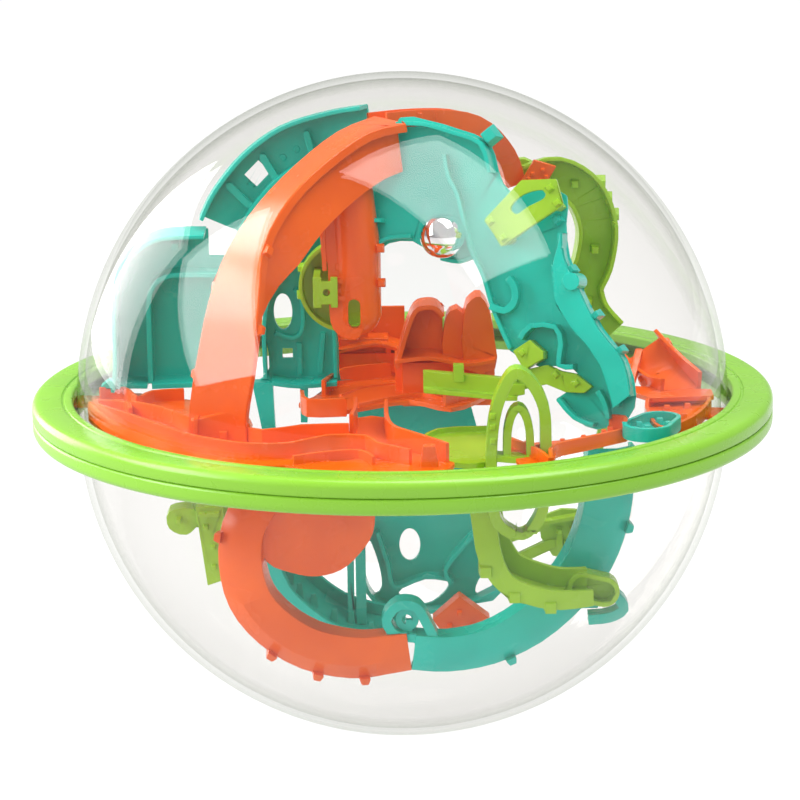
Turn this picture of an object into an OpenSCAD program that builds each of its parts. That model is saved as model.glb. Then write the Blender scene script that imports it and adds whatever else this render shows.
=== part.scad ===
/* [Case] */
// Outer radius of each clear dome
dome_r = 95; // [94.5:0.1:95.5]
// Wall thickness of the clear domes
dome_wall = 2; // [1.6:0.1:2.2]
// Thickness of each dome flange
flange_t = 2; // [1.8:0.1:2.2]
// Outer radius of the dome flanges
flange_r = 103; // [101:0.5:104]
// Outer radius of the ring
ring_r = 108; // [107:0.5:110]
// Height of each ring half
ring_h = 4.9; // [4.6:0.1:5.5]
// Radius of the ring's opening
ring_in = 96.2; // [95.8:0.1:97]

/* [Ball] */
// Diameter of the loose ball
ball_d = 12.7; // [12.3:0.1:12.7]
// Travel of the ball along the fence of the top deck
ball_run = 18; // [10:1:18]

/* [Tracks] */
// Wall thickness of the mouldings
wall = 1.2; // [1:0.1:1.4]
// Width of the arch channel
arch_w = 17; // [16:0.5:18]
// Depth of the arch channel
arch_h = 11; // [9:0.5:12]
// Height of the slide's outer wall
slide_h = 9; // [7:0.5:10]
// Width of the lower channels
low_w = 16; // [15:0.5:17]
// Width of the lime ribbon
ribbon_w = 4.4; // [4:0.2:5]

/* [Hidden] */

ORANGE = [0.96, 0.36, 0.12];
TEAL = [0.06, 0.62, 0.56];
LIME = [0.55, 0.80, 0.22];

// ---- vectors, curves and sweeps ----
function unit(v) = v / norm(v);
function cm(a, b, c, d, t) = 0.5 * (2 * b + (c - a) * t + (2 * a - 5 * b + 4 * c - d) * t * t + (3 * b - 3 * c + d - a) * t * t * t);
// smooth open curve through p, n steps between points
function open_c(p, n) = let (m = len(p) - 1) concat([for (i = [0:m - 1], k = [0:n - 1])
    cm(p[max(i - 1, 0)], p[i], p[i + 1], p[min(i + 2, m)], k / n)], [p[m]]);
// smooth closed curve through p
function shut_c(p, n) = let (m = len(p)) [for (i = [0:m - 1], k = [0:n - 1])
    cm(p[(i + m - 1) % m], p[i], p[(i + 1) % m], p[(i + 2) % m], k / n)];
function n2(q, i) = let (d = q[min(i + 1, len(q) - 1)] - q[max(i - 1, 0)]) [-d[1], d[0]] / norm(d);
// outline of a ribbon from offset a to offset b beside the line q
function band(q, a, b) = concat([for (i = [0:len(q) - 1]) q[i] + a * n2(q, i)],
    [for (i = [len(q) - 1:-1:0]) q[i] + b * n2(q, i)]);

// a flat ribbon or fence following p, standing on the local XY plane
module fence(p, h, t = wall, n = 3, z = 0) {
    translate([0, 0, z]) linear_extrude(h) polygon(band(open_c(p, n), -t / 2, t / 2));
}
// a plate with a smooth closed outline
module plate(p, t = wall, n = 3, z = 0) {
    translate([0, 0, z]) linear_extrude(t) polygon(shut_c(p, n));
}
// a plate with a rim of height h
module tray(p, h, t = wall, n = 3) {
    plate(p, t, n);
    linear_extrude(h) difference() {
        polygon(shut_c(p, n));
        offset(delta = -wall) polygon(shut_c(p, n));
    }
}
// U shaped channel swept along p, open along nv, walls hl (left) and hr (right),
// with an optional chamfer ch = [width, depth] on its left outer corner
module trough(p, nv, w, hl, hr, t = wall, n = 4, ch = [0.3, 0.3]) {
    q = open_c(p, n);
    u = is_list(nv[0]) ? open_c(nv, n) : [for (a = q) nv];
    W = is_list(w) ? open_c(w, n) : [for (a = q) w];
    HL = is_list(hl) ? open_c(hl, n) : [for (a = q) hl];
    HR = is_list(hr) ? open_c(hr, n) : [for (a = q) hr];
    m = len(q) - 1;
    pts = [for (i = [0:m]) let (T = unit(q[min(i + 1, m)] - q[max(i - 1, 0)]),
        N = unit(u[i] - (u[i] * T) * T), B = cross(T, N), h = W[i] / 2)
        for (c = [[-h, HL[i]], [-h, ch[1]], [-h + ch[0], 0], [h, 0], [h, HR[i]], [h - t, HR[i]], [h - t, t], [-h + ch[0] + t / 2, t], [-h + t, ch[1] + t / 2], [-h + t, HL[i]]]) q[i] + c[0] * B + c[1] * N];
    side = [for (i = [0:m - 1], j = [0:9]) let (a = 10 * i + j, b = 10 * i + (j + 1) % 10) each [[a, b, b + 10], [a, b + 10, a + 10]]];
    e = 10 * m;
    quads = [[0, 1, 8, 9], [1, 2, 7, 8], [2, 3, 6, 7], [3, 4, 5, 6]];
    caps = concat([for (f = quads) each [[f[2], f[1], f[0]], [f[3], f[2], f[0]]]],
        [for (f = quads) each [[e + f[0], e + f[1], e + f[2]], [e + f[0], e + f[2], e + f[3]]]]);
    polyhedron(points = pts, faces = concat(side, caps), convexity = 6);
}
// one wall standing on a channel's floor: from x to x + t across it, from z0 up to the heights hs; its sections fall between the channel's
module ribbon(p, nv, x, z0, hs, t = wall, n = 3) {
    q = open_c(p, n);
    u = open_c(nv, n);
    H = open_c(hs, n);
    m = len(q) - 2;
    pts = [for (i = [0:m]) let (T = unit(q[i + 1] - q[i]), a = (u[i] + u[i + 1]) / 2, N = unit(a - (a * T) * T), B = cross(T, N), o = (q[i] + q[i + 1]) / 2, h = (H[i] + H[i + 1]) / 2)
        for (c = [[x, h], [x, z0], [x + t, z0], [x + t, h]]) o + c[0] * B + c[1] * N];
    side = [for (i = [0:m - 1], j = [0:3]) let (a = 4 * i + j, b = 4 * i + (j + 1) % 4) each [[a, b, b + 4], [a, b + 4, a + 4]]];
    e = 4 * m;
    polyhedron(points = pts, faces = concat(side, [[2, 1, 0], [3, 2, 0], [e, e + 1, e + 2], [e, e + 2, e + 3]]), convexity = 4);
}
// places a local frame: x along X, y along Y (made square to X), z towards the viewer side
module frame(O, X, Y) {
    x = unit(X);
    y = unit(Y - (Y * x) * x);
    z = cross(x, y);
    multmatrix([[x[0], y[0], z[0], O[0]], [x[1], y[1], z[1], O[1]], [x[2], y[2], z[2], O[2]], [0, 0, 0, 1]]) children();
}
// upright plane at depth y, local x right, local y up, extruding forwards
module upright(y) { translate([0, y, 0]) rotate([90, 0, 0]) children(); }
// small tapered lug: base b x b, height h
module lug(p, b = 2.4, h = 2, a = 0) {
    translate(p) rotate(a) hull() {
        translate([-b / 2, -b / 2, 0]) cube([b, b, 0.2]);
        translate([-b / 3, -b / 3, h - 0.2]) cube([b / 1.5, b / 1.5, 0.2]);
    }
}
// row of lugs at the listed places
module lugs(ps, b = 2.4, h = 2, z = 0) { for (p = ps) lug([p[0], p[1], z], b, h); }
// locating pins standing out of the hidden side of a plate
module pins(ps, h = 1.6) { for (p = ps) translate([p[0], p[1], -h]) hull() { cylinder(d = 1.6, h = 0.2, $fn = 6); translate([0, 0, h + 0.1]) cylinder(d = 2.2, h = 0.5, $fn = 6); } }
// small ears on the edge of a channel at steps ix of its route, side -1 or 1
module ears(p, nv, w, ix, side, n = 4, b = 3, h = 3) {
    q = open_c(p, n);
    u = is_list(nv[0]) ? open_c(nv, n) : [for (a = q) nv];
    W = is_list(w) ? open_c(w, n) : [for (a = q) w];
    for (i = ix) let (T = unit(q[i + 1] - q[i - 1]), N = unit(u[i] - (u[i] * T) * T), B = cross(T, N), c = q[i] + side * W[i] / 2 * B)
        multmatrix([[T[0], side * B[0], N[0], c[0]], [T[1], side * B[1], N[1], c[1]], [T[2], side * B[2], N[2], c[2]], [0, 0, 0, 1]])
            hull() { translate([-b / 2, -0.8, 0.4]) cube([b, 0.6, h]); translate([-b / 3, 0.8, 0.8]) cube([b / 1.5, 0.4, h - 1]); }
}
// straight bar from a to b with a square section s
module bar(a, b, s = 2) { hull() { translate(a) cube(s, center = true); translate(b) cube(s, center = true); } }

// ---- case ----
module dome(s) {
    mirror([0, 0, s < 0 ? 1 : 0]) difference() {
        union() {
            intersection() {
                translate([0, 0, flange_t]) sphere(r = dome_r, $fn = 120);
                translate([0, 0, flange_t]) cylinder(r = dome_r + 5, h = dome_r + 5, $fn = 120);
            }
            cylinder(r = flange_r, h = flange_t, $fn = 120);
        }
        translate([0, 0, flange_t]) sphere(r = dome_r - dome_wall, $fn = 120);
        translate([0, 0, -1]) cylinder(r = dome_r - dome_wall, h = flange_t + 1, $fn = 120);
    }
}
module upper_dome() { color([0.92, 0.95, 0.95, 0.35]) dome(1); }
// four shallow pockets in the flange hold the tabs of the deck
TABS = [174, 236, 296, 350];
module lower_dome() {
    color([0.92, 0.95, 0.95, 0.35]) difference() {
        dome(-1);
        for (a = TABS) rotate(a) translate([91, -6, -1.3]) cube([9, 12, 2]);
    }
}
module ring_half() {
    r = 2.2;
    rotate_extrude($fn = 160) polygon(concat(
        [[ring_in, flange_t + 0.05], [ring_in, ring_h - 0.6], [ring_in + 0.6, ring_h]],
        [for (a = [90:-15:0]) [ring_r - r + r * cos(a), ring_h - r + r * sin(a)]],
        [[ring_r, 0.6], [ring_r - 0.5, 0], [flange_r + 0.3, 0], [flange_r + 0.3, flange_t + 0.05]]));
}
module upper_ring() { color(LIME) ring_half(); }
module lower_ring() { color(LIME) mirror([0, 0, 1]) ring_half(); }

// ---- top deck, slide and ball ----
SO = [0, -8, 80];
SX = [0.766, -0.071, 0.639];
SY = [-0.589, 0.323, 0.741];
SLIDE = [[4, 4], [10, -2], [15, -9], [20, -18], [17, -26], [16, -33], [24, -38], [28, -44], [23, -50], [18, -58],
    [15, -69], [13, -80], [13, -91], [9, -100], [3, -104], [-6, -101], [-9, -95], [-10, -87], [-2, -88], [-1, -82],
    [-8, -77], [-12, -68], [-9, -60], [-6, -50], [-4, -42], [-4, -40], [-8, -39], [-12, -34], [-15, -26], [-21, -22],
    [-26, -21], [-21, -14], [-14, -7], [-4, 0]];
WAVY = [[8, -13], [5, -18.6], [4, -24], [0.8, -31], [-2.6, -38.6], [-4.4, -47], [-7.6, -55], [-9.6, -62], [-11, -68]];
RIGHT = [[21, -52], [17, -58], [14.4, -69], [12.3, -80], [12.3, -91], [8, -100]];
RIGHT_IN = [[14.4, -58], [9, -66], [8, -74], [8.4, -82], [8, -88], [6, -94], [3.4, -100]];
BALL = [-6, -31.4];
module slide_raw() {
    frame(SO, SX, SY) {
        plate(SLIDE, wall, 2);
        fence(WAVY, 4.2);
        fence(RIGHT, slide_h - 0.5);
        fence([[3, 2], [9, -3], [14, -10], [18.6, -18], [15.6, -26]], 8);
        // broad outer wall: an inner wall, an outer wall and a cap
        fence(RIGHT_IN, slide_h - 0.4, 1.2);
        translate([0, 0, slide_h - 1.2]) linear_extrude(1.2) polygon(concat([for (a = open_c(RIGHT, 3)) a + [0.7, 0]], [for (a = [len(RIGHT_IN) - 1:-1:0]) RIGHT_IN[a] - [0.7, 0]]));
        fence([[1.6, -93], [1, -97], [-1, -101]], 5.4, 1.4);
        fence([[-4, -40.5], [-8, -39], [-11.5, -35]], 2);
        fence([[-25, -20.6], [-20, -21], [-14, -25]], 4);
        fence([[-13, -6.4], [-18, -10.5], [-20, -14], [-17.5, -16.5]], 7);
        fence([[-8, -55], [-5.6, -58.6], [-2, -58.6], [0.6, -55.6], [1, -52]], 5, 2);
        fence([[-6.6, -68], [-2, -67], [3.4, -71.6], [1.6, -76.6], [-2.4, -80.6], [0.6, -83.6]], 7, 1.5, 2);
        fence([[-8.5, -88], [-8, -95], [-5, -100]], 7);
        translate([15.5, -65, 0]) cylinder(d = 5, h = 11, $fn = 24);
        pins([[10, -20], [5, -28], [12, -40], [6, -46], [8, -54], [0, -68], [0, -76], [9, -88]]);
        lugs([[22, -48], [16.6, -61.6], [14.4, -76], [13.6, -88]], 2.6, 6.4);
        lugs([[21.5, -17]], 5, 5);
    }
}
module teal_slide() { color(TEAL) slide_raw(); }
module steel_ball() {
    color([0.75, 0.76, 0.78]) frame(SO, SX, SY) translate([BALL[0], BALL[1], wall + 0.3 + ball_d / 2]) sphere(d = ball_d, $fn = 64);
}

// ---- orange arch and chute ----
ARCH = [[-51.5, -50, 0], [-51.5, -50, 10], [-49, -50, 24], [-46.5, -48, 40], [-43, -42, 55], [-35, -34, 67], [-24.6, -25, 76], [-13, -16, 83], [-2.4, -8.9, 85.3]];
ARCH_N = [[0.3, 0.95, -0.1], [0.3, 0.95, -0.1], [0.3, 0.95, -0.1], [0.5, 0.8, -0.35], [0.65, 0.4, -0.65], [0.6, 0.2, -0.78], [0.45, 0.1, -0.9], [0.2, 0, -0.97], [0, 0, -1]];
module arch_raw() {
    trough(ARCH, ARCH_N, arch_w, 2.6, 2.6, wall, 3);
    ribbon(ARCH, ARCH_N, 2.5 - arch_w / 2, 0.6, [2, 2, 3, 7, arch_h + 3, arch_h + 4, arch_h + 4, arch_h + 4, arch_h + 3]);
    ribbon(ARCH, ARCH_N, arch_w / 2 - 2.5 - wall, 0.6, [2, 2, 3, 5, 6, 6, 6, 6, 6]);
    ears(ARCH, ARCH_N, arch_w, [5, 10, 14, 17, 20], 1, 3);
    ears(ARCH, ARCH_N, arch_w, [8, 12], -1, 3);
    // foot with scalloped side
    upright(-44) {
        linear_extrude(7) polygon(open_c([[-59, 8], [-58, 0], [-60, -5], [-52, -6], [-44, -6], [-42.4, -1], [-44.4, 2], [-42, 5], [-44, 9], [-43, 12]], 3));
        fence([[-60, -4], [-58, 2], [-57.4, 9]], 8.4);
        lugs([[-50, -2], [-50, 4]], 3, 8);
    }
}
module orange_arch() {
    color(ORANGE) difference() { arch_raw(); slide_raw(); }
}
module chute_raw() {
    // rounded front, hollow behind
    difference() {
        union() {
            hull() {
                translate([-12.6, -15, 31]) scale([1, 0.9, 1]) sphere(r = 7, $fn = 24);
                translate([-14, -16, 66]) rotate([0, 0, 0]) cylinder(r = 6.4, h = 1, $fn = 24);
                translate([-12.8, -15, 48]) cylinder(r = 7.2, h = 1, $fn = 24);
            }
            translate([0, -17, 0]) rotate([90, 0, 0]) linear_extrude(3) polygon(shut_c([[-22.4, 62], [-22.4, 50], [-20.8, 46], [-20.6, 34], [-19.6, 27], [-15, 23.6], [-11, 26], [-10, 40], [-10, 60], [-15, 66]], 3));
        }
        hull() {
            translate([-12.6, -13, 31]) sphere(r = 5.8, $fn = 20);
            translate([-13.4, -13, 62]) sphere(r = 5.4, $fn = 20);
        }
        translate([-30, -13, 0]) cube([40, 30, 90]);
        translate([0, -10, 0]) rotate([90, 0, 0]) hull() { translate([-13.4, 34, 0]) cylinder(d = 3.4, h = 20, $fn = 20); translate([-13.4, 28.6, 0]) cylinder(d = 3.4, h = 20, $fn = 20); }
    }
    upright(-18.6) {
        fence([[-21.6, 44], [-21.8, 56], [-20.4, 61], [-17.4, 62], [-15.4, 58]], 2.6, 1.3, 3);
        lugs([[-17.6, 38], [-17.6, 45], [-5.6, 40], [-5.8, 50]], 2.6, 1.6);
        bar([-19.4, 36, 1.6], [-16.4, 36, 1.6], 1.2);
        bar([-19.4, 41, 1.6], [-16.4, 41, 1.6], 1.2);
    }
    bar([-14, -16, 66], [-14, -17, 70], 4);
}
module orange_chute() { color(ORANGE) difference() { chute_raw(); arch_raw(); slide_raw(); } }

// half disc behind the chute, with a clip that straddles its edge
module disc_raw() {
    upright(-4) {
        difference() {
            union() {
                translate([-16, 37, 0]) cylinder(r = 13.5, h = wall, $fn = 48);
                difference() { translate([-16, 37, 0]) cylinder(r = 13.5, h = 5, $fn = 48); translate([-16, 37, -1]) cylinder(r = 12.3, h = 8, $fn = 48); }
            }
            translate([-8.2, 20, -1]) cube([20, 40, 20]);
        }
        lugs([[-28.6, 42], [-29, 34], [-21, 49.6]], 2.4, 4);
        pins([[-24, 44], [-25, 31], [-20, 28]]);
        bar([-24, 41, 1.6], [-24, 41, 17.6], 2);
        bar([-24, 35, 1.6], [-24, 35, 17.6], 2);
        translate([0, 0, 16.8]) linear_extrude(1.8) difference() {
            polygon([[-25, 33.6], [-22.6, 33.6], [-22.6, 34.6], [-20, 34.6], [-20, 33.6], [-18, 33.6], [-18, 42.4], [-20, 42.4], [-20, 41.2], [-22.6, 41.2], [-22.6, 42.4], [-25, 42.4]]);
            translate([-21.2, 38]) circle(d = 2, $fn = 16);
        }
    }
}
module lime_disc() { color(LIME) difference() { disc_raw(); chute_raw(); } }

// ---- rear pieces of the upper half ----
module top_back_raw() {
    trough([[-6, 6, 79], [7, 12, 79], [19, 17, 77], [27, 21, 70], [30, 24, 62]], [[-0.1, 0.1, 1], [-0.05, 0.1, 1], [0.4, 0.2, 0.9], [0.9, 0.2, 0.5], [1, 0.2, 0.1]], 14, 6, 6);
    for (c = [[-4, 0, 79], [6, 5, 80], [16, 10, 79], [24, 15, 73], [2, 5, 80], [10, 7, 80], [20, 12, 76], [27, 17, 68]]) translate(c) lug([0, 0, 0], 2.2, 5);
}
module orange_top_back() { color(ORANGE) difference() { top_back_raw(); slide_raw(); arch_raw(); } }

BARCH = [[-53, 17, 51.4], [-49.6, 17, 58], [-42, 18, 67], [-32, 18, 74], [-19, 17, 78], [-8, 14, 80]];
module back_arch_raw() {
    difference() {
        trough(BARCH, [0.1, -1, 0.1], 13, 8, 8);
        upright(30) translate([-42, 62, 0]) rotate(45) cube([6, 5, 40]);
    }
    upright(17) {
        pins([[-44, 62], [-38, 68], [-30, 73], [-23, 76], [-49, 57], [-34, 70.6]]);
        bar([-50, 63, 3], [-44, 57, 3], 1.6);
        bar([-40, 71.4, 3], [-36, 64.6, 3], 1.6);
        bar([-27, 78, 3], [-25, 70.6, 3], 1.6);
    }
}
module teal_back_arch() { color(TEAL) difference() { back_arch_raw(); top_back_raw(); arch_raw(); } }

GATE = [[-85, 4], [-84, 12], [-84, 27], [-82.5, 39], [-79, 44], [-72, 49], [-64, 50], [-57, 50]];
module gate_raw() {
    upright(16) {
        linear_extrude(wall) polygon(concat(open_c(GATE, 3), [[-56.4, 50], [-56.4, 42], [-49, 42], [-49, 4]]));
        fence(GATE, 15);
        fence([[-74.2, 5.2], [-74.2, 20], [-73.7, 32.2], [-69, 37.2], [-60, 37.7], [-49.6, 37.2]], 9, 1.5);
        fence([[-73.6, 5.1], [-63, 5.4], [-49.7, 5.1]], 12.2, 1.6);
        fence([[-84.4, 5], [-80, 5.1], [-75, 5]], 11.8, 1.3);
        pins([[-79, 9], [-79, 21], [-79, 33], [-66, 43], [-60, 12], [-60, 24], [-52, 18], [-60, 34]]);
        bar([-66, 46, 1], [-66, 46, 7], 2);
        hull() { translate([-86.4, 5, 8]) cube([3, 2, 4]); translate([-88.6, 4.6, 8]) cube([3, 0.8, 4]); }
    }
}
module teal_gate() { color(TEAL) difference() { gate_raw(); back_arch_raw(); arch_raw(); } }

module center_panel_raw() {
    upright(6) {
        linear_extrude(wall + 0.4) difference() {
            polygon(concat(open_c([[-43, 6], [-39, 10], [-40, 24], [-38, 34], [-33, 44], [-27, 52], [-22, 56]], 3), open_c([[-17, 54], [-19, 44], [-21, 32], [-19, 22], [-18.6, 10], [-18, 6]], 3)));
            translate([-34.6, 27]) scale([0.5, 1]) circle(r = 5.4, $fn = 24);
            translate([-35, 13]) square([3, 3]);
        }
        fence([[-40, 8], [-40, 24], [-38, 34], [-33, 44], [-27, 52]], 6.7, wall, 3, 0.3);
        fence([[-19.4, 8], [-19.6, 22], [-21.6, 32], [-19.6, 44]], 6.7, wall, 3, 0.3);
        fence([[-38, 7.4], [-30, 6.4], [-19, 7]], 10, 1.4);
        fence([[-37, 21], [-32, 19.5], [-29, 22], [-29, 30], [-31, 34]], 3.7, wall, 3, 0.3);
        pins([[-26, 12], [-26, 24], [-26, 36], [-28, 42], [-24, 48], [-22, 16]]);
        bar([-30, 9, 2], [-30, 17, 2], 1.4);
        bar([-24, 9, 2], [-23, 20, 2], 1.4);
        linear_extrude(5) polygon([[-44, 6.5], [-38, 6.5], [-37.4, -10], [-41, -10]]);
        linear_extrude(4) polygon([[-30, 7], [-27.6, 7], [-28, -6], [-30, -6]]);
    }
}
module teal_center_panel() { color(TEAL) difference() { center_panel_raw(); disc_raw(); arch_raw(); chute_raw(); } }

module back_steps_raw() {
    upright(30) {
        pins([[-16, 8], [-4, 8], [-16, 16], [-4, 16], [-10, 12], [-10, 20]]);
        for (s = [[-20, 5, 21, 6, 12], [-20, 5, 16, 10, 10], [-20, 5, 10, 14, 8], [-20, 5, 5, 18, 6]]) translate([s[0], s[1], 0]) linear_extrude(s[4]) square([s[2], s[3]]);
        translate([-20, 5, 0]) cube([21, 18, 1.4]);
        fence([[-19.4, 6], [-19.4, 14], [-19.4, 22]], 14);
        fence([[-19, 12], [-8, 14], [0, 12]], 14);
        lugs([[-12, 18], [-4, 12]], 2.4, 13);
    }
}
module orange_back_steps() { color(ORANGE) back_steps_raw(); }

// ---- rear right track ----
module back_track_raw() {
    trough([[38, 26, 60], [46, 27, 62], [54, 28, 57], [58, 29, 47], [57, 30, 36], [54, 30, 28], [56, 29, 20], [62, 27, 13]], [0.1, -1, 0.15], 12, 7, 7);
    upright(32) { lugs([[62, 55], [60, 60], [64, 50], [58, 40], [50, 32], [56, 24], [44, 62], [52, 60]], 3, 8); plate([[30, 61], [34, 67], [40, 66], [38, 60]], 4, 2); bar([38, 62, 2], [42, 61, 4], 3); }
}
module lime_back_track() { color(LIME) difference() { back_track_raw(); top_back_raw(); } }
module flag_raw() {
    upright(17) {
        linear_extrude(2) polygon([[34, 60], [39.5, 69], [46, 67], [42, 60]]);
        lugs([[37, 62], [39, 65], [41, 63], [40, 61], [42, 66], [43, 64], [38, 63.5]], 1.4, 3);
        bar([39, 61, -8], [39, 61, 1], 2);
    }
}
module orange_flag() { color(ORANGE) difference() { flag_raw(); back_track_raw(); slide_raw(); top_back_raw(); } }

// strap across the slide
module strap_raw() {
    frame(SO, SX, SY) {
        translate([0, 0, slide_h + 0.4]) difference() {
            linear_extrude(1.6) polygon([[7, -36], [22, -34], [30, -40], [27, -47], [6, -45]]);
            translate([0, 0, -1]) linear_extrude(4) polygon(shut_c([[15, -38], [20, -37.6], [25, -40], [24, -42], [19, -41], [15, -40.6]], 3));
        }
        lugs([[8, -37.5], [8, -43.5], [27, -41], [26, -45.6]], 2, 2, slide_h + 2);
        bar([26, -40.6, wall + 1], [26, -40.6, slide_h + 1], 2);
        bar([7.6, -40, wall + 1], [7.6, -40, slide_h + 1], 2);
        bar([25, -45.6, wall + 1], [25, -45.6, slide_h + 1], 2);
        bar([8, -44, wall + 1], [8, -44, slide_h + 1], 2);
    }
}
module lime_strap() { color(LIME) difference() { strap_raw(); slide_raw(); } }

// ---- equator ----
BASE_L = [[-91, 4], [-82, 5], [-74, 0], [-63, 2], [-58, -4], [-62, -14], [-68, -24], [-60, -38], [-52, -46], [-42, -54],
    [-28, -50], [-14, -48], [-6, -42], [-5, -30], [-4, -14], [3, -22], [4, -50], [12, -66], [14, -82], [4, -74], [-6, -70], [-12, -76], [-14, -90], [-5, -91],
    [-24, -88], [-30, -72], [-44, -74], [-60, -64], [-76, -50], [-88, -26]];
module base_raw() {
    translate([0, 0, 0.2]) {
        difference() {
            linear_extrude(1.4) polygon(shut_c([[-91, 4], [-82, 5], [-72, 0], [-63, 2], [-57, -8], [-64, -22], [-56, -36], [-42, -50], [-28, -48], [-16, -48], [-14, -24], [-4, -24],
                [-2, -46], [4, -62], [14, -76], [8, -86], [-8, -90], [-22, -86], [-32, -76], [-46, -76], [-62, -66], [-78, -48], [-90, -20]], 2));
            translate([-66, -38, -1]) linear_extrude(6) polygon(shut_c([[-6, 4], [2, 4], [5, -1], [0, -5], [-6, -2]], 3));
            translate([-20, -66, -1]) linear_extrude(6) polygon(shut_c([[-8, 4], [4, 4], [8, -2], [4, -6], [-6, -4]], 3));
        }
        fence([[-90, -18], [-79, -31], [-68, -46], [-60, -57], [-51, -64], [-42, -69], [-31, -69], [-21, -61], [-10, -62], [-7, -70], [2, -78]], 6, wall, 2);
        fence([[-89, 4], [-82, 4.4], [-77, -8], [-73, -1], [-64, 1]], 5);
        fence([[-78, -18], [-69, -25], [-60, -38], [-50, -45], [-39, -54], [-28, -49], [-15, -48.6]], 6, wall, 2);
        fence([[-14.4, -46], [-13.4, -36], [-13.4, -25]], 8);
        fence([[-4.6, -24], [-4.6, -40], [-3, -54], [2, -62], [8, -70], [12, -76]], 7);
        fence([[-30, -76], [-22, -72], [-12, -70], [-8, -78]], 4);
        fence([[-88, -12], [-80, -14], [-78, -22]], 5);
        pins([[-84, -8], [-70, -14], [-76, -32], [-58, -52], [-44, -62], [-24, -56], [-10, -36], [-2, -66]]);
        lugs([[7, -79]], 5, 6, 1.2);
    }
    // tabs clamped between the flanges
    difference() {
        for (a = [174, 236]) rotate(a) translate([84, -5.7, -1.1]) cube([15.7, 11.4, 1.1]);
    }
    for (a = [174, 236]) rotate(a) hull() { translate([84, -5.7, -1.1]) cube([6, 11.4, 2]); translate([78, -4, 0.2]) cube([2, 8, 1]); }
}
module right_plate_raw() {
    translate([0, 0, 0.2]) tray([[70, -16], [79, -10], [89, -13], [86, -28], [81, -40], [74, -49], [70, -44]], 4, 1.4);
    rotate(350) hull() { translate([84, -5.7, -1.1]) cube([15.7, 11.4, 1.1]); }
    rotate(350) hull() { translate([84, -5.7, -1.1]) cube([6, 11.4, 2]); translate([80, -5, 0.4]) cube([2, 10, 1]); }
    for (c = [[76, -20], [82, -18], [86, -26], [80, -30], [76, -38], [82, -36]]) lug([c[0], c[1], 1.2], 2.4, 2);
}
module orange_base() {
    color(ORANGE) difference() {
        base_raw();
        arch_raw(); center_panel_raw(); gate_raw(); slide_raw(); spiral_raw();
    }
}
module orange_right_plate() { color(ORANGE) difference() { right_plate_raw(); slide_raw(); right_ramp_raw(); } }
module center_raw() {
    translate([0, 0, 2.4]) {
        plate([[-26, -6], [-20, 10], [-6, 18], [6, 30], [20, 24], [28, 8], [24, -8], [14, -22], [2, -12], [-12, -20], [-22, -26], [-30, -14]], 1.4);
        fence([[-23, -5], [-17, 11], [-4, 18], [3, 29]], 6);
        fence([[-13, -20], [-4, -12], [6, -8], [12, -14]], 2.6);
        translate([-10, 0, 0]) fence([[-8, -6], [-2, 4], [8, 8]], 2);
        fence([[-29, -14], [-27, -25], [-16, -25]], 5.4);
        fence([[12, -20], [22, -8], [26, 6]], 8);
    }
    upright(1) {
        linear_extrude(wall) polygon([[-2, 3], [-2, 13], [1.4, 24], [4, 30], [7, 31.4], [10, 31], [12, 29.6], [12, 3]]);
        fence([[-1.6, 13], [1.6, 24], [4, 29.6], [7, 30.8], [10, 30.4], [12, 28]], 12, 1.4);
        linear_extrude(7) polygon(shut_c([[12, 14], [12.4, 24], [14, 28.6], [18, 28], [18.6, 14]], 2));
        linear_extrude(10) polygon(shut_c([[18, 12], [18, 28], [20, 32.4], [23, 33.4], [25.6, 29], [27, 20], [27, 12]], 2));
        fence([[-2, 15], [8, 16], [18, 14], [27, 15]], 13);
        linear_extrude(5) square([27, 13]);
        pins([[4, 20], [4, 26], [8, 20], [8, 26], [15, 22], [22, 26], [22, 20], [10, 8]]);
    }
}
module orange_center() { color(ORANGE) difference() { center_raw(); base_raw(); center_panel_raw(); bridge_raw(); slide_raw(); back_steps_raw(); lfloor_raw(); disc_raw(); chute_raw(); } }
module right_ramp_raw() {
    trough([[72, 14, 11.6], [75.4, 8, 7.6], [78.4, 1, 4.8], [81, -6, 3.4]], [[-0.4, -0.6, 0.7], [-0.3, -0.5, 0.8], [-0.2, -0.3, 0.95], [0, 0, 1]], 13, 6, 5);
    ears([[72, 14, 11.6], [75.4, 8, 7.6], [78.4, 1, 4.8], [81, -6, 3.4]], [[-0.4, -0.6, 0.7], [-0.3, -0.5, 0.8], [-0.2, -0.3, 0.95], [0, 0, 1]], 13, [2, 5, 8], -1);
    ears([[72, 14, 11.6], [75.4, 8, 7.6], [78.4, 1, 4.8], [81, -6, 3.4]], [[-0.4, -0.6, 0.7], [-0.3, -0.5, 0.8], [-0.2, -0.3, 0.95], [0, 0, 1]], 13, [3, 6], 1);
    bar([76, 5, 3.4], [76, 5, 6], 2);
    translate([62, -2, 3]) linear_extrude(1.4) polygon([[4, 2], [28, -4], [28, -12], [10, -14], [6, -8]]);
    bar([66, -4, 3.6], [70, 10, 12], 2);
}
module orange_right_ramp() { color(ORANGE) difference() { right_ramp_raw(); slide_raw(); } }
module front_rail_raw() {
    translate([0, 0, 0.2]) {
        linear_extrude(1.4) polygon([[28, -58], [36, -72], [40, -84], [42, -66], [62, -50], [60, -42], [46, -52]]);
        fence([[29, -58], [36, -70], [39.6, -82]], 4);
        fence([[40, -82], [41, -68], [50, -60], [62, -50]], 4);
        fence([[62, -50], [62, -44], [58, -42]], 6);
        lugs([[34, -62], [38, -74], [44, -60], [50, -56], [56, -50], [40, -66], [37, -66], [58, -46]], 2, 2.4, 1.2);
    }
    rotate(296) hull() { translate([84, -5.7, -1.1]) cube([15.7, 11.4, 1.1]); }
    rotate(296) hull() { translate([84, -5.7, -1.1]) cube([6, 11.4, 2]); translate([78, -4, 0.2]) cube([2, 8, 1.2]); }
}
module orange_front_rail() { color(ORANGE) difference() { front_rail_raw(); slide_raw(); spiral_raw(); base_raw(); } }
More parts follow.
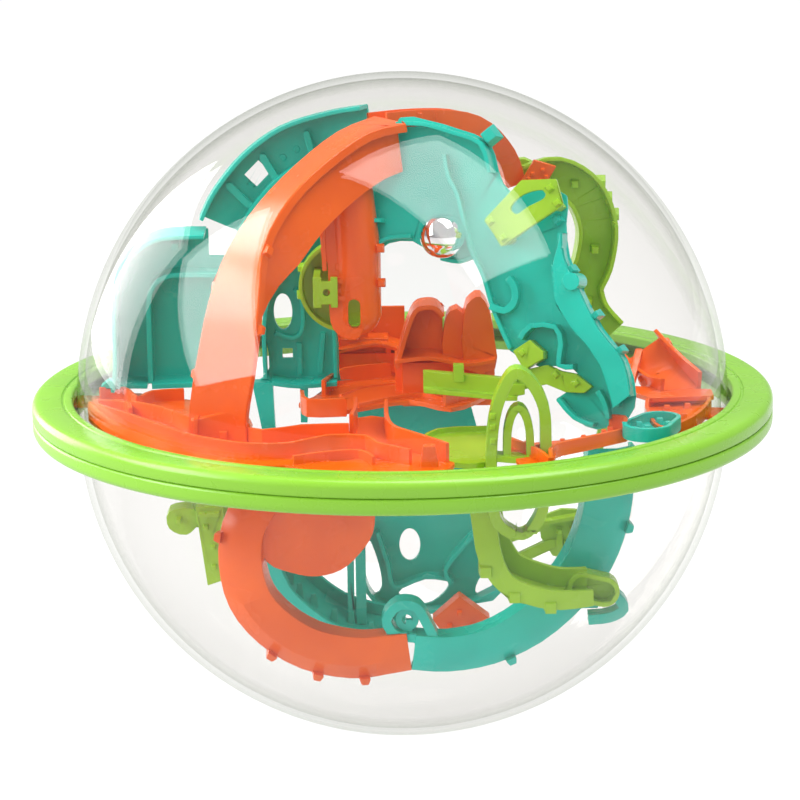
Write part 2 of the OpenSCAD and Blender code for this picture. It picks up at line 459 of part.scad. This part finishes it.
module collar_raw() {
    translate([0, 0, 2]) {
        difference() {
            hull() { translate([68, -52, 0]) cylinder(r = 7, h = 4, $fn = 32); translate([72, -44, 0]) cylinder(r = 6, h = 4, $fn = 32); }
            translate([0, 0, 1.2]) hull() { translate([68, -52, 0]) cylinder(r = 5.6, h = 4, $fn = 32); translate([72, -44, 0]) cylinder(r = 4.6, h = 4, $fn = 32); }
        }
        lugs([[68, -52], [72, -44], [66, -48], [74, -48], [70, -56], [64, -54]], 2.4, 2.4, 1);
    }
}
module teal_collar() { color(TEAL) difference() { collar_raw(); slide_raw(); right_plate_raw(); front_rail_raw(); right_ramp_raw(); } }
module lfloor_raw() {
    translate([0, 0, -3]) {
        linear_extrude(1.6) polygon(shut_c([[4, -46], [10, -30], [24, -28], [26, -44], [23, -64], [13, -64], [6, -56]], 3));
        fence([[4, -46], [10, -31], [24, -29]], 3);
        pins([[10, -40], [14, -36], [20, -34], [12, -50], [20, -50], [16, -58], [20, -60], [22, -40]]);
    }
}
module lime_floor() { color(LIME) difference() { lfloor_raw(); spiral_raw(); } }
module bridge_raw() {
    frame(SO, SX, SY) {
        translate([0, 0, wall]) linear_extrude(3) polygon([[-15, -72.4], [-12, -75], [-5.4, -78.2], [-3.4, -82], [-0.4, -85.4], [1, -91], [-2, -91], [-6, -87.6], [-9, -82.4], [-16, -79]]);
        translate([0, 0, wall]) linear_extrude(6) polygon([[-10.2, -69.4], [-4.4, -70], [-3.4, -75], [-4.6, -76.6], [-11, -75.6]]);
        lugs([[-8.4, -71.6]], 2, 1.6, 6.6);
        lugs([[-5, -82], [-2, -87.4], [-12, -77.4]], 2, 1, 4);
    }
    hull() { translate([6, -25, 9.4]) cube([2, 2, 6]); translate([30, -36.4, 9.4]) cube([2.4, 2, 6]); }
    hull() { translate([6, -27, 9.4]) cube([2, 3, 1.4]); translate([30, -38.4, 9.4]) cube([2.4, 3, 1.4]); }
    bar([30, -36, 12], [33, -36.6, 12.6], 3);
    bar([16, -30, 15], [16, -30, 17], 3);
}
module lime_bridge() { color(LIME) difference() { bridge_raw(); slide_raw(); } }
module spiral_raw() {
    translate([0, -64, 0]) rotate([90, 0, 0]) {
        fence([[30, -21], [25, -16], [24, -2], [25, 12], [28, 21], [31, 24.6], [35, 22], [38.4, 15], [39, 6], [38.6, -4], [38, -14], [35, -20]], 6, ribbon_w * 0.7, 4);
        fence([[28.4, 0.4], [28.6, 8], [29.8, 12.8], [31.6, 14.6], [33.4, 12.8], [34.6, 8], [34.8, 0.4]], 5, 2.2, 3);
        fence([[25.2, 0.9], [32, 0.3], [38.3, 0.8]], 5.8, 1.9);
        fence([[29.6, -20.4], [32.6, -21.4], [35.4, -19.6]], 5.7, 2.2);
        lugs([[30, -20.6], [34, -20.4]], 2, 6);
        for (z = [-12, -8, -4, 5, 9, 12]) bar([24.4, z, 3], [24.6, z + 1, 6.2], 1.4);
    }
}
module lime_spiral() { color(LIME) spiral_raw(); }

// ---- lower half ----
LC = [[-41, -48, -16], [-45.6, -50, -24], [-46.6, -51, -34], [-44, -51, -45], [-37, -50, -54], [-27, -48.6, -60.6], [-15, -47, -63.6], [-6, -46, -63.2], [1, -45.6, -62.4]];
LC_W = [12, 12.4, 13, 13.6, 14, 14, 13.6, 12.6, 12];
module lower_curve_raw() {
    trough(LC, [0.12, 0.98, 0.02], LC_W, 8, 8, wall, 3, [5, 3.4]);
    ears(LC, [0.12, 0.98, 0.02], LC_W, [4, 13, 16, 19], -1, 3, 3, 6);
    upright(-41) {
        translate([0, 0, 3]) linear_extrude(3.4) polygon(shut_c([[-42, -13], [-36, -12], [-28, -13], [-12, -13], [-8.4, -18], [-8.8, -26], [-12.6, -32], [-18, -36.8], [-25, -38.6], [-32, -37.4], [-39, -34], [-42, -24]], 3));
        fence([[-36, -35], [-30, -37.2], [-24, -37.6], [-18, -35.6], [-13.4, -31], [-9.8, -24]], 4.8);
        pins([[-30, -24], [-18, -24]], -4);
        fence([[-43, -16], [-42, -2]], 8, 3);
        fence([[-12, -14], [-12, -2]], 5, 3);
    }
}
module orange_lower_curve() { color(ORANGE) difference() { lower_curve_raw(); arch_raw(); base_raw(); center_panel_raw(); } }
LT = [[2.2, -45.6, -62.6], [12, -45.4, -63.4], [24, -44.6, -61.6], [36, -43, -56], [46, -42, -47], [53, -42, -37], [57, -42, -26], [58.6, -42, -16], [59, -42, -4]];
LT_W = [11.4, 11.6, 12, 13, 14, 14.6, 14.6, 14.4, 14];
module lower_channel_raw() {
    trough(LT, [-0.12, 0.98, 0.02], LT_W, 8, 8, wall, 3, [5, 3.4]);
    ears(LT, [-0.12, 0.98, 0.02], LT_W, [7, 18], -1, 3, 3, 6);
    upright(-38) {
                fence([[55, -46], [60, -47], [62, -50.6], [58, -53], [52, -53.6]], 6, 3);
        fence([[3, -58], [-3, -57], [-5.4, -52.6], [-2, -48.4], [3, -48.8], [5.6, -53], [8, -58]], 7, 2.8);
        translate([0.4, -53, 3]) difference() { cylinder(r = 3.4, h = 2, $fn = 24); translate([0, 0, -1]) cylinder(r = 1.4, h = 5, $fn = 20); }
        bar([1, -57, 4], [1, -54, 4], 2);
        bar([54, -50, 2], [50, -50, 2], 2);
    }
}
module teal_lower_channel() { color(TEAL) difference() { lower_channel_raw(); lower_curve_raw(); front_rail_raw(); collar_raw(); slide_raw(); right_plate_raw(); } }
module lower_panel_raw() {
    upright(8) {
        linear_extrude(1.6) difference() {
            polygon(shut_c([[-13, -2], [-14, -34], [-14, -50], [-10, -62], [4, -66], [18, -64], [29, -60], [29, -36], [20, -30], [20, -2]], 3));
            translate([1.6, -45]) scale([0.62, 1]) circle(r = 5, $fn = 28);
            polygon(shut_c([[-11, -43], [-8, -50], [-7, -58], [-10, -60], [-12, -54]], 3));
            polygon(shut_c([[-2, -60], [4, -56], [10, -55], [13, -58], [8, -63], [3, -63]], 3));
            polygon(shut_c([[21, -60], [25, -62], [26, -57], [23, -55]], 3));
        }
        fence([[-13, -36], [-13, -50], [-9, -61], [4, -64.6], [18, -62.6], [28, -58]], 7);
        fence([[28, -38], [22, -40], [16, -46], [12, -52], [14, -56]], 7);
        fence([[-8, -40], [-5, -50], [-3, -57], [6, -54], [14, -55]], 6);
        pins([[-4, -38], [6, -36], [14, -38], [20, -44], [8, -50], [20, -54], [24, -50], [6, -20]]);
    }
}
module teal_lower_panel() { color(TEAL) difference() { lower_panel_raw(); center_raw(); base_raw(); } }
module bowl_raw() {
    trough([[-38, -4, -44], [-33, -5, -55], [-22, -6, -64], [-10, -7, -68], [-1, -8, -69]], [[0.6, -0.3, 0.7], [0.5, -0.3, 0.8], [0.3, -0.3, 0.9], [0.1, -0.3, 0.95], [0, -0.3, 0.95]], 18, 5, 5);
    for (c = [[-34, -5, -53], [-27, -6, -61], [-16, -6, -66.6], [-6, -7, -69], [-31, -8, -57], [-21, -8, -65], [-10, -10, -68.6]]) translate(c) lug([0, 0, 0], 2.4, 5);
    bar([-13, -5, -64], [-13, -5, -45], 3);
    bar([-16, -5, -62], [-16, -5, -45], 2);
}
module teal_bowl() { color(TEAL) difference() { bowl_raw(); lower_panel_raw(); lower_curve_raw(); lower_channel_raw(); } }
module lower_block_raw() {
    upright(-2) {
        linear_extrude(6) polygon([[16, -57], [25, -64], [21.5, -70], [12, -70], [8, -64]]);
        lugs([[13, -66], [16, -62], [20, -66], [17, -68]], 2, 8);
        bar([16, -62, -8], [16, -62, 2], 3);
        bar([12, -66, -8], [12, -66, 2], 2);
        bar([20, -64, -8], [20, -64, 2], 2);
        bar([15, -68, -8], [15, -68, 2], 2);
    }
}
module orange_lower_block() { color(ORANGE) difference() { lower_block_raw(); lower_panel_raw(); lower_channel_raw(); } }
module lime_low_raw() {
    trough([[18.5, -52, -15], [19.6, -53, -23], [21.6, -54, -31], [27, -54, -38.4], [35, -54, -42.4], [43, -54, -44.2], [52, -53, -44]],
        [[1, -0.1, 0.1], [1, -0.1, 0.1], [0.9, -0.15, 0.35], [0.6, -0.2, 0.7], [0.2, -0.2, 0.9], [0, -0.2, 0.95], [-0.05, -0.2, 0.95]], [11, 12, 13, 14, 14, 13, 11], [8, 8, 8, 7, 7, 7, 7], [7, 7, 7, 6, 6, 6, 5], wall, 3);
    upright(-46) {
                difference() {
            hull() { translate([56, -43, 0]) cylinder(r = 4.4, h = 6, $fn = 24); translate([50, -41.6, 0]) cylinder(r = 4.4, h = 6, $fn = 24); }
            translate([0, 0, 1.4]) hull() { translate([56, -43, 0]) cylinder(r = 3, h = 6, $fn = 24); translate([50, -41.6, 0]) cylinder(r = 3, h = 6, $fn = 24); }
        }
    }
    bar([18.6, -50, -16], [19, -51, -4], 4);
    for (c = [[22, -58, -33], [30, -58, -40.4], [40, -58, -43.6]]) bar(c, c + [0.6, -2.4, -1], 3);
}
module lime_lower_curve() { color(LIME) difference() { lime_low_raw(); lower_channel_raw(); lfloor_raw(); spiral_raw(); lower_panel_raw(); } }
module lime_ll_raw() {
    upright(0) {
        linear_extrude(8) polygon(shut_c([[-69, -30], [-62, -29], [-60, -33], [-64, -37], [-69, -35]], 3));
        linear_extrude(10) polygon([[-61, -28], [-53, -28], [-52, -50], [-58, -52]]);
        lugs([[-66, -32], [-58, -34], [-56, -40], [-56, -46]], 2, 12);
        bar([-56, -30, 4], [-62, -4, 8], 3);
        bar([-56, -34, 4], [-50, -26, 4], 3);
        fence([[-60, -30], [-54, -30]], 12);
        bar([-62, -4, 8], [-64, -1, 8], 3);
        bar([-62, -34, 4], [-58, -34, 4], 3);
    }
}
module lime_lower_left() { color(LIME) difference() { lime_ll_raw(); base_raw(); lower_curve_raw(); } }
module lime_panel_raw() {
    upright(4) {
        linear_extrude(1.6) polygon(shut_c([[40, -36], [54, -34], [54, -46], [44, -48]], 2));
        fence([[41, -37], [53, -35]], 5);
        lugs([[46, -40], [50, -40], [48, -44]], 2, 4);
        bar([42, -38, 1], [26, -44, 1], 2.4);
        bar([44, -44, 1], [27, -52, 1], 2.4);
        bar([46, -40, 1], [46, -44, 2], 2);
        bar([52, -37, 2], [60, -4, 3], 2.4);
        bar([50, -40, 2], [52, -37, 2], 2);
    }
}
module lime_panel() { color(LIME) difference() { lime_panel_raw(); lower_panel_raw(); right_plate_raw(); lower_channel_raw(); } }

upper_dome();
lower_dome();
upper_ring();
lower_ring();
steel_ball();
orange_arch();
orange_chute();
orange_top_back();
orange_base();
orange_center();
orange_back_steps();
orange_right_ramp();
orange_right_plate();
orange_front_rail();
orange_flag();
orange_lower_curve();
orange_lower_block();
teal_slide();
teal_back_arch();
teal_gate();
teal_center_panel();
teal_collar();
teal_lower_channel();
teal_lower_panel();
teal_bowl();
lime_disc();
lime_bridge();
lime_spiral();
lime_floor();
lime_strap();
lime_back_track();
lime_lower_curve();
lime_lower_left();
lime_panel();
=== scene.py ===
import math

import bpy
import bmesh
from mathutils import Matrix, Vector


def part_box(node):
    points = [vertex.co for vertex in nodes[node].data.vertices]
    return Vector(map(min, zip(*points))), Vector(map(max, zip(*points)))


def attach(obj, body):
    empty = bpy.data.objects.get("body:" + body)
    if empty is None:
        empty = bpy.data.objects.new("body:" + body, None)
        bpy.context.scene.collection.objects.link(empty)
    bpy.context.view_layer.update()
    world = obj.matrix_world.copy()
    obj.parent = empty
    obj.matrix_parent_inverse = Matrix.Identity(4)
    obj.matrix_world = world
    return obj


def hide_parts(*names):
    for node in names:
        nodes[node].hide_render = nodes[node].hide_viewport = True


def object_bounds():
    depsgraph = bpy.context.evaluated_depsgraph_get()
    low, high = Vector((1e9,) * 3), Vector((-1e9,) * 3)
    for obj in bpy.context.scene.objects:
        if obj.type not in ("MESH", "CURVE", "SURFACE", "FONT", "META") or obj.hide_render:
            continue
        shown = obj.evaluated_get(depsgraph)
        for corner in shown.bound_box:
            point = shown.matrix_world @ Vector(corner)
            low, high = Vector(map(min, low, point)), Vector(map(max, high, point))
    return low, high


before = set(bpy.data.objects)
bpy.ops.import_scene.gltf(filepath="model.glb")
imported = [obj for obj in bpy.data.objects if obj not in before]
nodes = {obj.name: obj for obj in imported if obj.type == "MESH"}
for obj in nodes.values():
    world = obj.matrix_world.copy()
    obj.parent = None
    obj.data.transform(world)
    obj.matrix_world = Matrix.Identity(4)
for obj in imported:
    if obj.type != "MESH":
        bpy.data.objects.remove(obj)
CAD_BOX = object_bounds()


# ---------------------------------------------------------------- materials
def new_material(name):
    m = bpy.data.materials.new(name)
    m.use_nodes = True
    m.node_tree.nodes.clear()
    return m, m.node_tree.nodes, m.node_tree.links


def plastic(name, light, dark, rough=0.3, scale=60.0, sub=0.0, coat=0.0, grain=0.018):
    """Glossy injection-moulded plastic: slow colour drift, uneven gloss, and the fine ripple of a moulded surface."""
    m, n, l = new_material(name)
    out = n.new("ShaderNodeOutputMaterial")
    p = n.new("ShaderNodeBsdfPrincipled")
    co = n.new("ShaderNodeTexCoord")
    # flow lines and drift of the colour
    drift = n.new("ShaderNodeTexNoise")
    drift.inputs["Scale"].default_value = scale
    drift.inputs["Detail"].default_value = 3.0
    drift.inputs["Roughness"].default_value = 0.55
    ramp = n.new("ShaderNodeValToRGB")
    ramp.color_ramp.elements[0].position = 0.3
    ramp.color_ramp.elements[0].color = (*dark, 1)
    ramp.color_ramp.elements[1].position = 0.7
    ramp.color_ramp.elements[1].color = (*light, 1)
    l.new(co.outputs["Object"], drift.inputs["Vector"])
    l.new(drift.outputs["Fac"], ramp.inputs["Fac"])
    l.new(ramp.outputs["Color"], p.inputs["Base Color"])
    # uneven gloss
    gloss = n.new("ShaderNodeTexNoise")
    gloss.inputs["Scale"].default_value = 90.0
    gloss.inputs["Detail"].default_value = 4.0
    span = n.new("ShaderNodeMapRange")
    span.inputs["From Min"].default_value = 0.3
    span.inputs["From Max"].default_value = 0.7
    span.inputs["To Min"].default_value = rough * 0.8
    span.inputs["To Max"].default_value = rough * 1.25
    l.new(co.outputs["Object"], gloss.inputs["Vector"])
    l.new(gloss.outputs["Fac"], span.inputs["Value"])
    l.new(span.outputs["Result"], p.inputs["Roughness"])
    # fine mould texture
    fine = n.new("ShaderNodeTexNoise")
    fine.inputs["Scale"].default_value = 420.0
    fine.inputs["Detail"].default_value = 2.0
    bump = n.new("ShaderNodeBump")
    bump.inputs["Strength"].default_value = grain
    bump.inputs["Distance"].default_value = 0.0001
    l.new(co.outputs["Object"], fine.inputs["Vector"])
    l.new(fine.outputs["Fac"], bump.inputs["Height"])
    l.new(bump.outputs["Normal"], p.inputs["Normal"])
    p.inputs["IOR"].default_value = 1.46
    p.inputs["Subsurface Weight"].default_value = sub
    p.inputs["Subsurface Scale"].default_value = 0.002
    p.inputs["Coat Weight"].default_value = coat
    p.inputs["Coat Roughness"].default_value = 0.12
    l.new(p.outputs["BSDF"], out.inputs["Surface"])
    return m


def clear_shell(name, tint):
    """A thin clear moulding: each skin lets light straight through and mirrors more of it towards its edge."""
    m, n, l = new_material(name)
    out = n.new("ShaderNodeOutputMaterial")
    mix = n.new("ShaderNodeMixShader")
    thru = n.new("ShaderNodeBsdfTransparent")
    shine = n.new("ShaderNodeBsdfGlossy")
    shine.inputs["Color"].default_value = (1, 1, 1, 1)
    shine.inputs["Roughness"].default_value = 0.015
    face = n.new("ShaderNodeLayerWeight")
    face.inputs["Blend"].default_value = 0.5
    p5 = n.new("ShaderNodeMath")
    p5.operation = "POWER"
    p5.inputs[1].default_value = 5.0
    span = n.new("ShaderNodeMapRange")
    span.inputs["To Min"].default_value = 0.021
    span.inputs["To Max"].default_value = 0.50
    co = n.new("ShaderNodeTexCoord")
    wave = n.new("ShaderNodeTexNoise")
    wave.inputs["Scale"].default_value = 14.0
    wave.inputs["Detail"].default_value = 2.0
    bump = n.new("ShaderNodeBump")
    bump.inputs["Strength"].default_value = 0.10
    bump.inputs["Distance"].default_value = 0.0012
    l.new(co.outputs["Object"], wave.inputs["Vector"])
    l.new(wave.outputs["Fac"], bump.inputs["Height"])
    l.new(bump.outputs["Normal"], shine.inputs["Normal"])
    l.new(face.outputs["Facing"], p5.inputs[0])
    l.new(p5.outputs["Value"], span.inputs["Value"])
    l.new(span.outputs["Result"], mix.inputs["Fac"])
    # a slanting path through the wall is longer, so it is darker
    depth = n.new("ShaderNodeValToRGB")
    stops = depth.color_ramp.elements
    stops[0].position, stops[0].color = 0.0, (*tint, 1)
    stops[1].position, stops[1].color = 1.0, (0.70, 0.72, 0.67, 1)
    s2 = stops.new(0.75)
    s2.color = (tint[0] - 0.02, tint[1] - 0.02, tint[2] - 0.025, 1)
    l.new(face.outputs["Facing"], depth.inputs["Fac"])
    l.new(depth.outputs["Color"], thru.inputs["Color"])
    l.new(thru.outputs["BSDF"], mix.inputs[1])
    l.new(shine.outputs["BSDF"], mix.inputs[2])
    l.new(mix.outputs["Shader"], out.inputs["Surface"])
    return m


def chrome(name):
    m, n, l = new_material(name)
    out = n.new("ShaderNodeOutputMaterial")
    p = n.new("ShaderNodeBsdfPrincipled")
    p.inputs["Metallic"].default_value = 1.0
    p.inputs["Base Color"].default_value = (0.83, 0.84, 0.86, 1)
    co = n.new("ShaderNodeTexCoord")
    t = n.new("ShaderNodeTexNoise")
    t.inputs["Scale"].default_value = 400.0
    t.inputs["Detail"].default_value = 5.0
    span = n.new("ShaderNodeMapRange")
    span.inputs["From Min"].default_value = 0.35
    span.inputs["From Max"].default_value = 0.65
    span.inputs["To Min"].default_value = 0.03
    span.inputs["To Max"].default_value = 0.09
    l.new(co.outputs["Object"], t.inputs["Vector"])
    l.new(t.outputs["Fac"], span.inputs["Value"])
    l.new(span.outputs["Result"], p.inputs["Roughness"])
    l.new(p.outputs["BSDF"], out.inputs["Surface"])
    return m


ORANGE = plastic("orange_moulding", (0.86, 0.130, 0.005), (0.76, 0.098, 0.003), rough=0.24)
TEAL = plastic("teal_moulding", (0.007, 0.54, 0.43), (0.004, 0.45, 0.36), rough=0.24)
LIME = plastic("lime_moulding", (0.34, 0.60, 0.024), (0.28, 0.52, 0.016), rough=0.25)
RING = plastic("lime_ring", (0.215, 0.475, 0.034), (0.20, 0.445, 0.028), rough=0.27, scale=18.0, grain=0.002)
CLEAR = clear_shell("clear_shell", (0.968, 0.964, 0.960))
BALL = chrome("polished_ball")


# ---------------------------------------------------------------- carried-over pieces
def crease_group(angle):
    """Geometry nodes that shade smooth and keep edges sharper than the angle crisp."""
    g = bpy.data.node_groups.new("crease_%d" % round(angle), "GeometryNodeTree")
    g.interface.new_socket("Geometry", in_out="INPUT", socket_type="NodeSocketGeometry")
    g.interface.new_socket("Geometry", in_out="OUTPUT", socket_type="NodeSocketGeometry")
    gi, go = g.nodes.new("NodeGroupInput"), g.nodes.new("NodeGroupOutput")
    f = g.nodes.new("GeometryNodeSetShadeSmooth")
    f.domain = "FACE"
    f.inputs["Shade Smooth"].default_value = True
    e = g.nodes.new("GeometryNodeSetShadeSmooth")
    e.domain = "EDGE"
    e.inputs["Shade Smooth"].default_value = False
    a = g.nodes.new("GeometryNodeInputMeshEdgeAngle")
    c = g.nodes.new("ShaderNodeMath")
    c.operation = "GREATER_THAN"
    c.inputs[1].default_value = math.radians(angle)
    g.links.new(gi.outputs[0], f.inputs["Geometry"])
    g.links.new(f.outputs["Geometry"], e.inputs["Geometry"])
    g.links.new(a.outputs["Unsigned Angle"], c.inputs[0])
    g.links.new(c.outputs[0], e.inputs["Selection"])
    g.links.new(e.outputs["Geometry"], go.inputs[0])
    return g


CREASE = crease_group(38.0)
CREASE_TIGHT = crease_group(40.0)


def dress(o, mat, bevel=0.0003, angle=35.0, segments=2):
    """Gives a carried-over piece its material, welds its facets, and rounds its edges as a moulding's are."""
    me = o.data
    me.materials.clear()
    me.materials.append(mat)
    for a in [x.name for x in me.attributes if x.name in ("custom_normal", "sharp_edge", "sharp_face")]:
        me.attributes.remove(me.attributes[a])
    me.polygons.foreach_set("use_smooth", [True] * len(me.polygons))
    me.update()
    w = o.modifiers.new("weld", "WELD")
    w.merge_threshold = 0.00002 if bevel else 0.000001
    if bevel:
        b = o.modifiers.new("round", "BEVEL")
        b.width = bevel
        b.segments = segments
        b.limit_method = "ANGLE"
        b.angle_limit = math.radians(angle)
        b.harden_normals = False
        b.use_clamp_overlap = False
        b.profile = 0.6
    c = o.modifiers.new("crease", "NODES")
    c.node_group = CREASE if bevel else CREASE_TIGHT
    if bevel:
        q = o.modifiers.new("normals", "WEIGHTED_NORMAL")
        q.mode = "FACE_AREA"
        q.weight = 80
        q.keep_sharp = True


for name, o in nodes.items():
    if name.startswith("orange_"):
        dress(o, ORANGE)
    elif name.startswith("teal_"):
        dress(o, TEAL)
    elif name.startswith("lime_"):
        dress(o, LIME)
    elif name.endswith("_ring"):
        dress(o, RING, bevel=0.0)
    elif name.endswith("_dome"):
        dress(o, CLEAR, bevel=0.0)
    else:
        dress(o, BALL, bevel=0.0)


# ---------------------------------------------------------------- the two ring halves as turned hoops
def lathe(name, profile, mat, steps=256):
    """A closed profile of (radius, height) in metres, turned about Z."""
    bm_ = bmesh.new()
    rows = []
    for i in range(steps):
        a = 2 * math.pi * i / steps
        rows.append([bm_.verts.new((r_ * math.cos(a), r_ * math.sin(a), z_)) for r_, z_ in profile])
    k_ = len(profile)
    for i in range(steps):
        A, B = rows[i], rows[(i + 1) % steps]
        for j in range(k_):
            bm_.faces.new((A[j], A[(j + 1) % k_], B[(j + 1) % k_], B[j]))
    bmesh.ops.recalc_face_normals(bm_, faces=bm_.faces)
    me_ = bpy.data.meshes.new(name)
    bm_.to_mesh(me_)
    bm_.free()
    me_.polygons.foreach_set("use_smooth", [True] * len(me_.polygons))
    me_.materials.append(mat)
    o_ = bpy.data.objects.new(name, me_)
    bpy.context.scene.collection.objects.link(o_)
    c_ = o_.modifiers.new("crease", "NODES")
    c_.node_group = CREASE
    return o_


# the two ring halves, with a bead along the inner edge of the broad face and a rounded outer edge
for side, node in ((1, "upper_ring"), (-1, "lower_ring")):
    blo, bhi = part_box(node)
    R1, H = min(-blo.x, bhi.x, -blo.y, bhi.y), (bhi.z if side > 0 else -blo.z)
    R0 = R1 - 0.0118  # inner radius of the hoop
    fl, seat = 0.0022, R1 - 0.0047
    prof = [(R0, 0.00205), (R0, H - 0.0007), (R0 + 0.0001, H - 0.0003), (R0 + 0.0004, H - 0.00006), (R0 + 0.0008, H),
            (R0 + 0.0021, H), (R0 + 0.0024, H - 0.00008), (R0 + 0.0026, H - 0.00045), (R0 + 0.0029, H - 0.00055), (R0 + 0.0032, H - 0.00045),
            (R0 + 0.0034, H - 0.00012), (R0 + 0.0038, H - 0.00004)]
    prof += [(R1 - fl + fl * math.cos(math.radians(t_)), H - fl + fl * math.sin(math.radians(t_))) for t_ in range(90, -1, -10)]
    prof += [(R1, 0.0008), (R1 - 0.0001, 0.00045), (R1 - 0.0004, 0.00016), (R1 - 0.0008, 0.00002), (seat, 0.00002), (seat, 0.00205)]
    ring = lathe(node + "_hoop", [(r_, side * z_) for r_, z_ in prof], RING)
    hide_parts(node)
    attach(ring, "globe")


# ---------------------------------------------------------------- stage
lo, hi = CAD_BOX
floor_z = lo.z - 0.0002
me = bpy.data.meshes.new("floor")
bm = bmesh.new()
bmesh.ops.create_grid(bm, x_segments=8, y_segments=8, size=6.0)
bm.to_mesh(me)
bm.free()
floor = bpy.data.objects.new("floor", me)
floor.location = (0, 0, floor_z)
bpy.context.scene.collection.objects.link(floor)
m, n, l = new_material("floor_paper")
out = n.new("ShaderNodeOutputMaterial")
add = n.new("ShaderNodeAddShader")
dif = n.new("ShaderNodeBsdfDiffuse")
dif.inputs["Color"].default_value = (0.12, 0.12, 0.12, 1)
emi = n.new("ShaderNodeEmission")
emi.inputs["Color"].default_value = (1, 1, 1, 1)
emi.inputs["Strength"].default_value = 0.93
l.new(dif.outputs["BSDF"], add.inputs[0])
l.new(emi.outputs["Emission"], add.inputs[1])
l.new(add.outputs["Shader"], out.inputs["Surface"])
me.materials.append(m)

# ---------------------------------------------------------------- light
world = bpy.data.worlds.new("studio")
bpy.context.scene.world = world
world.use_nodes = True
wn, wl = world.node_tree.nodes, world.node_tree.links
wn.clear()
wo = wn.new("ShaderNodeOutputWorld")
bg = wn.new("ShaderNodeBackground")
bg.inputs["Color"].default_value = (1, 1, 1, 1)
bg.inputs["Strength"].default_value = 0.45
wl.new(bg.outputs["Background"], wo.inputs["Surface"])


def softbox(name, centre, ex, ey, radiance, tint=(1, 1, 1)):
    """A rectangular softbox with the given centre and edge vectors, facing the origin."""
    ex, ey = Vector(ex), Vector(ey)
    c = Vector(centre)
    X = ex.normalized()
    Y = (ey - ey.dot(X) * X).normalized()
    Z = X.cross(Y)
    if Z.dot(c) < 0:  # a lamp shines along its own -Z
        Y = -Y
        Z = -Z
    ld = bpy.data.lights.new(name, "AREA")
    ld.shape = "RECTANGLE"
    ld.size = ex.length
    ld.size_y = ey.length
    ld.energy = radiance * math.pi * ex.length * ey.length
    ld.color = tint
    lo_ = bpy.data.objects.new(name, ld)
    R = Matrix((X, Y, Z)).transposed()
    lo_.matrix_world = Matrix.Translation(c) @ R.to_4x4()
    lo_.visible_camera = False
    bpy.context.scene.collection.objects.link(lo_)
    return lo_


softbox("key_overhead", (0.358, -0.013, 1.137), (0.556, 0.476, 0.166), (0.861, -0.807, -0.315), 7.0)
softbox("side_left", (-0.793, -0.147, 0.405), (0.493, -0.245, 0.106), (-0.222, -0.619, -0.398), 8.5)

softbox("strip_left_back", (-1.02, 0.84, 0.35), (0.5, 0.62, 0.0), (0.0, 0.1, 0.9), 6.0)
fill = softbox("fill_front", (-0.45, -1.5, 0.75), (1.3, 0.0, 0.0), (0.0, 0.45, 1.1), 2.0)
fill.visible_glossy = False  # a soft fill that the shell does not mirror

# ---------------------------------------------------------------- camera
ELEV, ROLL, DIST = 0.2373, math.radians(-0.7996), 0.99156
ce, se = math.cos(ELEV), math.sin(ELEV)
fw = Vector((0, ce, -se))
rt0, up0 = Vector((1, 0, 0)), Vector((0, se, ce))
rt = rt0 * math.cos(ROLL) + up0 * math.sin(ROLL)
up = -rt0 * math.sin(ROLL) + up0 * math.cos(ROLL)
cd = bpy.data.cameras.new("camera")
cam = bpy.data.objects.new("camera", cd)
R = Matrix((rt, up, -fw)).transposed()
cam.matrix_world = Matrix.Translation(-fw * DIST) @ R.to_4x4()
cd.sensor_width = 36.0
cd.lens = 152.16
cd.shift_x = -0.00314
cd.shift_y = 0.00396
cd.clip_start = 0.05
cd.clip_end = 50.0
bpy.context.scene.collection.objects.link(cam)
bpy.context.scene.camera = cam
bpy.context.scene.view_settings.view_transform = "Standard"
bpy.context.scene.cycles.transparent_max_bounces = 24
